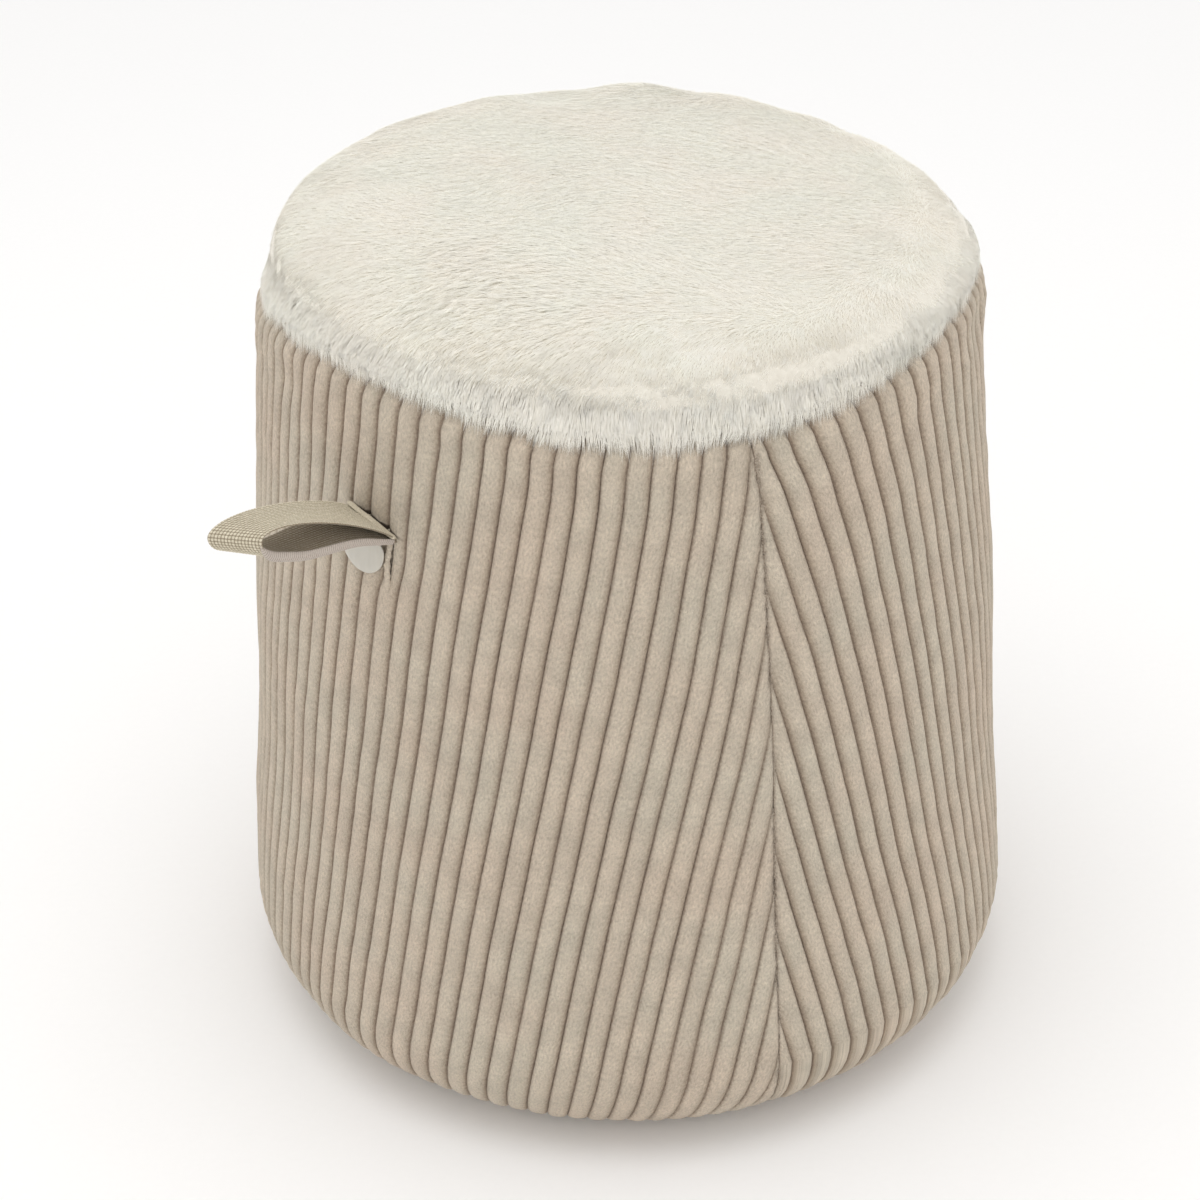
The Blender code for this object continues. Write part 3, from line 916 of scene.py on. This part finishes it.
def hung(root, chance):
    """Half-way and tip points for locks that hang over the rolled rim: half-way a lock passes
    just outside the roll, and its tip ends close to the wall. Slow noise makes some stretches
    longer, and fine noise draws neighbours' tips together."""
    count = len(root)
    bearing = np.arctan2(root[:, 0], -root[:, 1])
    lift = np.maximum(above_rim(root), 0.0)
    rim = RIM_HEIGHT + rim_wave(bearing)
    hang = FRINGE_HANG * (1.0 + 0.16 * drift(root, STRETCH_SIZE, 52)
                          + 0.12 * drift(root, CLUMP_SIZE, 53))
    hang = hang * chance.uniform(0.55, 1.05, count) - 0.12 * lift
    aside = FRINGE_ASIDE * (0.5 * drift(root, 0.05, 54) + 0.3 * drift(root, CLUMP_SIZE, 55)
                            + chance.normal(0.0, 0.6, count))
    half_out = np.maximum(np.hypot(*root.T[:2]) + 0.0004, RIM_RADIUS - 0.0026)
    half_out = half_out + chance.uniform(0.0, 0.0014, count)
    half = round_points(half_out, bearing + 0.4 * aside / RIM_RADIUS, rim + 0.40 * lift)
    tip_out = cone_radius(rim - hang) - roll_back(hang) + chance.uniform(0.0003, 0.0014, count)
    return half, round_points(tip_out, bearing + aside / RIM_RADIUS, rim - hang)


def pile_points(root, normal, seed):
    """Lays a lock on each root, as long as its neighbours but for a little chance, and draws
    its tip aside with theirs by fine noise, so that locks gather. In one patch at the front
    left they stand up and curl. A few stand up everywhere, and those that start just above
    the rim hang over it. Returns the points, the normals, which are the cloth's tilted
    upwards, and each lock's share of painted shade, most over the shoulder and less where locks
    hang, with random mottle."""
    count = len(root)
    chance = np.random.default_rng(seed)
    way = combed(root, normal) + LOCK_STRAY * chance.normal(size=(count, 3))
    way = way - normal * (way * normal).sum(axis=1, keepdims=True)
    way /= np.linalg.norm(way, axis=1, keepdims=True)
    length = LOCK_LENGTH * chance.uniform(0.8, 1.1, (count, 1))
    length = length * (1.0 + 0.12 * drift(root, 0.03, 14)[:, None])
    from_curls = np.linalg.norm(root - CURLS_AT, axis=1, keepdims=True)
    curl = np.exp(-((from_curls / CURLS_REACH) ** 2))
    stand = LOCK_STAND * chance.uniform(0.6, 1.4, (count, 1)) * (1.0 + 2.5 * curl)
    raised = chance.random((count, 1)) < RAISED_SHARE
    stand = stand + np.where(raised, chance.uniform(0.05, 0.18, (count, 1)), 0.0)
    gather = np.stack([drift(root, GATHER_SIZE, 16 + axis) for axis in range(3)], axis=1)
    drawn = DRAWN_ASIDE * gather * (1.0 + 4.0 * curl)
    width = LOCK_WIDTH * chance.uniform(0.7, 1.3, (count, 1))
    length = length * (1.0 - 0.25 * curl)
    points = blade_points(root, way, normal, length, width, stand, drawn)
    points[:, 2:4] += draped(root, normal, way, 0.5 * length)[:, None]
    points[:, 4] += draped(root, normal, way, length)
    hanging = by_rim(root)[:, None]
    half, tip = hung(root, chance)
    middle = 0.5 * (points[:, 2] + points[:, 3])
    points[:, 2:4] += (hanging * (half - middle))[:, None]
    points[:, 2] += 0.3 * hanging * (points[:, 3] - points[:, 2])
    points[:, 4] += hanging * (tip - points[:, 4])
    over = smooth_step(-normal[:, 2:], -0.985, -0.80)
    raise_by = (1.2 + 0.5 * over) * (1.0 - 0.75 * hanging)
    soft = normal + raise_by * UP + (0.03 + 0.30 * over) * gather
    # Painted shade over the pad's shoulder, less where locks hang, plus random mottle.
    painted_shade_and_mottle = over * (1.0 - hanging) * (0.7 + 0.35 * gather[:, :1])
    painted_shade_and_mottle = painted_shade_and_mottle + (0.05 + 0.25 * over) * chance.normal(size=(count, 1))
    return points, soft / np.linalg.norm(soft, axis=1, keepdims=True), painted_shade_and_mottle[:, 0]


pile_finish = fibre_finish("cream plush pile", PLUSH_ROOT, PLUSH_TIP, plush_patches,
                           THROUGH_SHARE)
pile_root, pile_normal = scatter(pad, LOCKS // (1), 21)
quarter = ((pile_root[:, 0] > 0.0) + 2 * (pile_root[:, 1] > 0.0)).astype(int)
for number, quarter_name in enumerate(("front_left", "front_right", "back_left", "back_right")):
    here = quarter == number
    pile = blades(f"pile_{quarter_name}", *pile_points(pile_root[here], pile_normal[here],
                                                       30 + number))
    pile.data.materials.append(pile_finish)
    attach(pile, "root")
    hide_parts("plush_pad")


# ------------------------------------------------------------------------------- Pull loop
# A strip of plain-woven webbing, 23 mm wide, is folded in half and its two ends are sewn
# into a slanting slot in the cover. It stands out as a flat teardrop, open on its near side.

STRAP_THICKNESS = 0.0010
THREAD = 0.00140
LOOP_REACH = np.array((0.0610, 0.0135, 0.0261))
ACROSS_AT_SLIT = np.array((0.0, *SLOT_ACROSS))
ACROSS_AT_FOLD = np.array((0.0068, 0.0212, -0.0014))
REACH_POWER = 0.757
LOOP_RISE = 0.0080
LOOP_SAG = 0.0060
LOOP_LIFT = 0.0008
STRAP_INSIDE = 0.0060
STRAP_PARTING = 0.0006
STRAP_FLAT = (0.0230, 0.150)
STRAP_ENDS = 0.05
THREAD_RELIEF = 0.00030
SELVEDGE = 0.018

WEB_LIGHT = "#ddd4bf"
WEB_SHADE = "#b9af98"
# The next colour is painted shade in the gaps between thread crossings.
WEB_GAP_SHADE = "#877b67"
# The next colour is painted shade on the face inside the loop.
WEB_INNER_SHADE = "#7a6a5b"
OVERLOCK_PALE = "#bcb1a7"
# The next colour is painted shade between the overlock's wraps.
OVERLOCK_GAP_SHADE = "#857a70"


def on_wall(places, bearing, height):
    """Turns places given as out, left and up from a point of the wall to points."""
    out, left, up, point = wall_frame(np.array(bearing), height)
    return places @ np.stack((out, left, up)) + point


def loop_points(share, across):
    """Middle of the strap's cloth. Share runs from its upper end (0) round the fold (half) to
    its lower end (1), and across from its near edge to its far edge.

    Its reach from the wall is a raised cosine of the share. Seen from the side it is a flat
    teardrop: the upper half lifts as a sine, and the lower half sags near the fold and comes
    up to the upper one well before the slot.
    """
    angle = 2.0 * np.pi * np.clip(share, 0.0, 1.0)[..., None]
    across = across[..., None]
    reach = np.maximum(0.5 * (1.0 - np.cos(angle)), 0.0) ** REACH_POWER
    turned = angle / (2.0 * np.pi)
    sag = np.sin(0.5 * np.pi * np.clip((turned - 0.5) / 0.13, 0.0, 1.0))
    sag = LOOP_SAG * sag * (1.0 - smooth_step(turned, 0.69, 0.885))
    lift = np.where(angle < np.pi, LOOP_RISE * np.sin(angle), -sag)
    lift = lift + LOOP_LIFT * np.abs(np.cos(0.5 * angle)) + STRAP_PARTING * np.cos(0.5 * angle)
    wide = ACROSS_AT_SLIT + (ACROSS_AT_FOLD - ACROSS_AT_SLIT) * reach
    point = LOOP_REACH * reach + wide * across + lift * UP
    inside = np.maximum(np.maximum(-share, share - 1.0), 0.0)[..., None]
    point = point - inside * STRAP_INSIDE / STRAP_ENDS * np.array((1.0, 0.0, 0.0))
    return on_wall(point, SLIT_BEARING, SLIT_HEIGHT)


def strap_points():
    """The woven strip as a closed skin: across the face inside the loop, round the far edge
    and back over the face outside. Rows are evenly spaced, four to a thread. Each thread
    crossing is a pillow, the product of two sines."""
    threads = int(STRAP_FLAT[0] / THREAD)
    columns = 4 * threads + 1
    share = np.linspace(-STRAP_ENDS, 1.0 + STRAP_ENDS, 2000)
    line = loop_points(share, 0.0 * share + 0.5)
    length = np.cumsum(np.linalg.norm(np.gradient(line, axis=0), axis=1))
    rows = 4 * int(length[-1] / THREAD) + 1
    share = np.interp(np.linspace(length[0], length[-1], rows), length, share)
    across = np.linspace(0.0, 1.0, columns)
    middle = loop_points(*np.meshgrid(share, across, indexing="ij"))
    step_along = np.gradient(middle, axis=0)
    step_across = np.gradient(middle, axis=1)
    normal = np.cross(step_along, step_across)
    normal /= np.linalg.norm(normal, axis=2, keepdims=True)
    travelled = 0.25 * THREAD * np.arange(rows)
    along_thread = np.pi * travelled[:, None] / THREAD
    across_thread = np.pi * across[None, :] * threads
    pillow = np.abs(np.sin(along_thread) * np.sin(across_thread)) ** 0.6
    edge = np.minimum(across, 1.0 - across)[None, :]
    rounding = np.sqrt(np.clip(edge / SELVEDGE, 0.0, 1.0))
    to_end = np.minimum(share + STRAP_ENDS, 1.0 + STRAP_ENDS - share)
    closing = smooth_step(to_end, 0.0, 0.01)[:, None]
    half = (0.5 * STRAP_THICKNESS - THREAD_RELIEF + THREAD_RELIEF * pillow) * rounding * closing
    inside = middle + normal * half[..., None]
    outside = middle - normal * half[..., None]
    points = np.concatenate((inside, outside[:, ::-1]), axis=1)
    points[:, -1] = points[:, 0]
    along, over = np.meshgrid(travelled, across * threads * THREAD, indexing="ij")
    flat = np.stack((along, over), axis=-1)
    # Painted shade: the face inside the loop is marked to be darkened.
    painted_inner_shade = np.concatenate((np.ones_like(along), np.zeros_like(along)), axis=1)
    return points, np.concatenate((flat, flat[:, ::-1]), axis=1), {"painted_inner_shade": painted_inner_shade}


def webbing_finish():
    """Plain-woven cotton webbing of undyed flax-coloured yarn: dry and matt, pale where a
    thread lies on top and darker in the gaps between crossings, painted shade. Its inner face,
    inside the loop, is darkened too, painted shade."""
    material, tree, shader = finish_named(
        "flax-coloured cotton webbing", Roughness=0.9, Sheen_Weight=0.1,
        Specular_IOR_Level=0.25,
    )
    flat = add(tree, "ShaderNodeUVMap", uv_map="flat").outputs["UV"]
    counts = vector_maths(tree, "MULTIPLY", flat, (np.pi / THREAD, np.pi / THREAD, 0.0))
    both = add(tree, "ShaderNodeSeparateXYZ", {0: counts})
    crossing = maths(tree, "MULTIPLY", *(
        maths(tree, "ABSOLUTE", maths(tree, "SINE", both.outputs[axis])) for axis in (0, 1)
    ))
    yarn = spread(tree, noise(tree, coordinates(tree), 0.0009, 3.0), 0.3, 0.7)
    thread = mixed(tree, yarn, WEB_SHADE, WEB_LIGHT)
    # Painted shade in the gaps between crossings.
    woven = mixed(tree, spread(tree, crossing, 0.05, 0.55), WEB_GAP_SHADE, thread)
    # Painted shade on the face inside the loop.
    painted_inner_shade = maths(tree, "MULTIPLY", mark(tree, "painted_inner_shade"), 0.45)
    link_finish(tree, shader, mixed(tree, painted_inner_shade, woven, WEB_INNER_SHADE), yarn, 0.35, 0.0002)
    return material


strap = surface("webbing_loop", *strap_points())
strap.data.materials.append(webbing_finish())
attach(strap, "root")
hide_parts("pull_loop")


# ------------------------------------------------------------ Overlock edge and slot threads
# The lower half's near edge is overlocked: fine pale thread wraps it in a rounded bead. A
# turned-up fold of the webbing and a few loose thread ends show above the strap in the slot.

OVERLOCK_HALF_WIDTH = 0.0011
OVERLOCK_HALF_HEIGHT = 0.0020
OVERLOCK_STITCH = 0.0010
OVERLOCK_FROM, OVERLOCK_TO = 0.47, 0.992
SLOT_FOLD_HEIGHT = 0.0027
SLOT_FOLD_HALF_DEPTH = 0.0013
SLOT_FOLD_HALF_HEIGHT = 0.0005
THREAD_RADIUS = 0.00026
YARN_SHADE = "#a1957f"


def overlock_bead():
    """An upright oval bead along the strap's near edge, from just before the fold to the slot.
    Its half width swells with the wrapped thread, a sine that winds round it slantwise."""
    share = np.linspace(OVERLOCK_FROM, OVERLOCK_TO, 400)
    line = loop_points(share, 0.0 * share + 0.03)
    near = loop_points(share, 0.0 * share) - loop_points(share, 0.0 * share + 0.1)
    fade = smooth_step(share, OVERLOCK_FROM, 0.60) * (1.0 - 0.35 * smooth_step(share, 0.80, 0.99))
    along = (share - OVERLOCK_FROM) / (OVERLOCK_TO - OVERLOCK_FROM)
    fade = (fade * round_ends(along, 0.02))[:, None]
    travelled = np.cumsum(np.linalg.norm(np.gradient(line, axis=0), axis=1))[:, None]
    around = np.linspace(0.0, 2.0 * np.pi, 25)[None, :]
    wrap = np.abs(np.sin(np.pi * travelled / OVERLOCK_STITCH + around))
    full = fade * (0.90 + 0.10 * wrap)
    return tube("overlock_edge", line, near, OVERLOCK_HALF_WIDTH * full,
                OVERLOCK_HALF_HEIGHT * full, 24, {"wrap": wrap})


def overlock_finish():
    """Fine polyester overlock thread in pale mauve grey: soft satin, with painted shade between
    wraps.
    """
    material, tree, shader = finish_named(
        "pale polyester overlock thread", Roughness=0.7, Sheen_Weight=0.1,
        Specular_IOR_Level=0.3,
    )
    fuzz = noise(tree, coordinates(tree), 0.0006, 3.0)
    # Painted shade between wraps.
    lit = spread(tree, maths(tree, "ADD", mark(tree, "wrap"), fuzz), 0.5, 1.3)
    link_finish(tree, shader, mixed(tree, lit, OVERLOCK_GAP_SHADE, OVERLOCK_PALE), fuzz, 0.3, 0.0002)
    return material


def yarn_finish():
    """The same flax-coloured cotton as loose yarn: matt, with fine lighter fibres."""
    material, tree, shader = finish_named(
        "flax-coloured cotton yarn", Roughness=0.9, Sheen_Weight=0.1, Specular_IOR_Level=0.25,
    )
    fibres = noise(tree, coordinates(tree), 0.0007, 3.0)
    link_finish(tree, shader, mixed(tree, fibres, YARN_SHADE, WEB_LIGHT), fibres, 0.4, 0.0002)
    return material


def slot_fold():
    """The thin turned-up fold: a flat oval along the top of the slot, bowed upwards."""
    share = np.linspace(-0.02, 0.98, 60)
    rise = SLOT_FOLD_HEIGHT * (1.0 + 0.75 * smooth_step(share, 0.0, 0.5))
    places = np.outer(share, ACROSS_AT_SLIT)
    places[:, 2] += rise
    places[:, 0] += 0.0006 + 0.0010 * np.sin(np.pi * np.clip(share, 0.0, 1.0))
    line = on_wall(places, SLIT_BEARING, SLIT_HEIGHT)
    full = round_ends(share + 0.02, 0.08)[:, None]
    out = np.broadcast_to(wall_frame(np.array(SLIT_BEARING), SLIT_HEIGHT)[0], line.shape)
    return tube("slot_fold", line, out, SLOT_FOLD_HALF_DEPTH * full,
                SLOT_FOLD_HALF_HEIGHT * full, 12)


def loose_thread(name, start, size, turns, lean):
    """A loose thread end: a flat spiral that opens from start, size across, leaning out."""
    share = np.linspace(0.0, 1.0, 48)
    angle = 2.0 * np.pi * turns * share
    swing = 0.5 * size * (0.4 + 0.6 * share)
    places = np.stack((lean * share * size, swing * (1.0 - np.cos(angle)),
                       swing * np.sin(angle)), axis=1)
    line = on_wall(places + start, SLIT_BEARING, SLIT_HEIGHT)
    full = THREAD_RADIUS * round_ends(share, 0.05)[:, None]
    aside = np.broadcast_to((0.3, -1.0, 0.2), line.shape)
    return tube(name, line, aside, full, full, 8)


overlock = overlock_bead()
threads = [
    slot_fold(),
    loose_thread("loose_thread_1", (0.0015, 0.0225, 0.0098), 0.0038, 0.8, 0.5),
    loose_thread("loose_thread_2", (0.0012, 0.0135, 0.0080), 0.0045, -0.8, 0.3),
    loose_thread("loose_thread_3", (0.0012, 0.0205, 0.0104), 0.0028, 1.1, 0.6),
]
overlock.data.materials.append(overlock_finish())
cotton_yarn = yarn_finish()
for piece in threads:
    piece.data.materials.append(cotton_yarn)
for piece in (overlock, *threads):
    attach(piece, "root")
    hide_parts("pull_loop")


# ------------------------------------------------------------------------------- White tab
# A small round tab of white moulded plastic hangs over the ribs just under the loop. Its
# face is slightly crowned and its edge is rounded over.

TAB_RADIUS = 0.0114
TAB_TOP = 0.0068
TAB_THICKNESS = 0.0022
TAB_CLEARANCE = 0.0009
TAB_BEARING = np.radians(-40.6)
TAB_HEIGHT = 0.2782
TAB_WHITE = "#c4c0b7"
TAB_SHADE = "#b5b0a5"
TAB_STREAK = 1.0 / 450.0


def tab_points():
    """A crowned disc, flattened at its top, with a full edge: its half thickness is the root
    of one minus the sixth power of the share of the radius."""
    around = np.linspace(0.0, 2.0 * np.pi, 65)[None, :]
    share = np.sin(np.linspace(0.0, 0.5 * np.pi, 14))
    half = 0.5 * TAB_THICKNESS * (0.8 + 0.2 * (1.0 - share**2)) * np.sqrt(1.0 - share**6)
    share = np.concatenate((share, share[-2::-1]))[:, None]
    half = np.concatenate((half, -half[-2::-1]))[:, None]
    left = TAB_RADIUS * share * np.cos(around)
    up = share * np.sin(around) * np.where(np.sin(around) > 0.0, TAB_TOP, TAB_RADIUS)
    out = half + 0.5 * TAB_THICKNESS + TAB_CLEARANCE - TAPER * up
    points = on_wall(np.stack((out, left, up), axis=-1), TAB_BEARING, TAB_HEIGHT)
    points[:, -1] = points[:, 0]
    return points


def white_plastic_finish():
    """White moulded polypropylene, a little milky: satin, with faint flow streaks from
    moulding and handling dust in its lower gloss."""
    material, tree, shader = finish_named(
        "white moulded polypropylene", IOR=1.49, Subsurface_Weight=0.15,
        Subsurface_Radius=(0.004, 0.003, 0.002), Subsurface_Scale=0.5,
    )
    drawn = add(tree, "ShaderNodeMapping", {"Vector": coordinates(tree),
                                            "Scale": (1.0, 1.0, 0.25)})
    flow = noise(tree, drawn.outputs[0], TAB_STREAK, 3.0)
    gloss = spread(tree, flow, 0.0, 1.0, 0.35, 0.6)
    tree.links.new(gloss, shader.inputs["Roughness"])
    link_finish(tree, shader, mixed(tree, flow, TAB_SHADE, TAB_WHITE), flow, 0.15, 0.0002)
    return material


tab = surface("white_plastic_tab", tab_points())
tab.data.materials.append(white_plastic_finish())
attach(tab, "root")
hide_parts("white_tab")


# ------------------------------------------------------------- Studio: floor, light, camera
# A pale matt floor, a white surround that is brightest low down, as from softboxes all round,
# and one wide soft light overhead. The camera looks down from a little over a metre away.

FLOOR_SIZE = 6.0
FLOOR_WHITE = "#fcfbfa"
FLOOR_SHADE = "#f9f8f7"
FLOOR_GRAIN = 1.0 / 300.0
SURROUND_LOW, SURROUND_HIGH = 1.5, 0.60
SOFTBOX_SIZE = 1.6
SOFTBOX_WATTS = 10.5
SOFTBOX_PLACE = (-0.10, -0.30, 1.9)
SOFTBOX_TURN = (np.radians(-9.0), np.radians(-3.0), 0.0)
CAMERA_LENS = 89.433
CAMERA_PLACE = (0.0, -1.1200, 0.8782)
CAMERA_TURN = (1.0113, 0.0180, -0.0018)


def floor_points():
    """A flat square of three by three points under the ottoman."""
    side = np.linspace(-FLOOR_SIZE, FLOOR_SIZE, 3)
    across, deep = np.meshgrid(side, side)
    return np.stack((across, deep, 0.0 * across), axis=-1)


def floor_finish():
    """Matt white paper sweep with a barely visible grain."""
    material, tree, shader = finish_named("matt white paper", Roughness=0.9)
    grain = noise(tree, coordinates(tree), FLOOR_GRAIN)
    tree.links.new(mixed(tree, grain, FLOOR_SHADE, FLOOR_WHITE), shader.inputs["Base Color"])
    return material


floor = surface("studio_floor", floor_points())
floor.data.materials.append(floor_finish())

world = bpy.data.worlds.new("white_surround")
world.use_nodes = True
surround = world.node_tree.nodes["Background"]
surround.inputs["Color"].default_value = (1.0, 1.0, 1.0, 1.0)
height = add(world.node_tree, "ShaderNodeTexCoord").outputs["Generated"]
height = add(world.node_tree, "ShaderNodeSeparateXYZ", {0: height}).outputs["Z"]
glow = spread(world.node_tree, height, 0.0, 1.0, SURROUND_LOW, SURROUND_HIGH)
world.node_tree.links.new(glow, surround.inputs["Strength"])
bpy.context.scene.world = world
bpy.context.scene.view_settings.view_transform = "Standard"

overhead = bpy.data.lights.new("overhead_softbox", "AREA")
overhead.shape = "DISK"
overhead.size = SOFTBOX_SIZE
overhead.energy = SOFTBOX_WATTS
softbox = placed("overhead_softbox", overhead)
softbox.location = SOFTBOX_PLACE
softbox.rotation_euler = SOFTBOX_TURN

camera = bpy.data.cameras.new("camera")
camera.sensor_width = 36.0
camera.lens = CAMERA_LENS
camera_object = placed("camera", camera)
camera_object.location = CAMERA_PLACE
camera_object.rotation_euler = CAMERA_TURN
bpy.context.scene.camera = camera_object
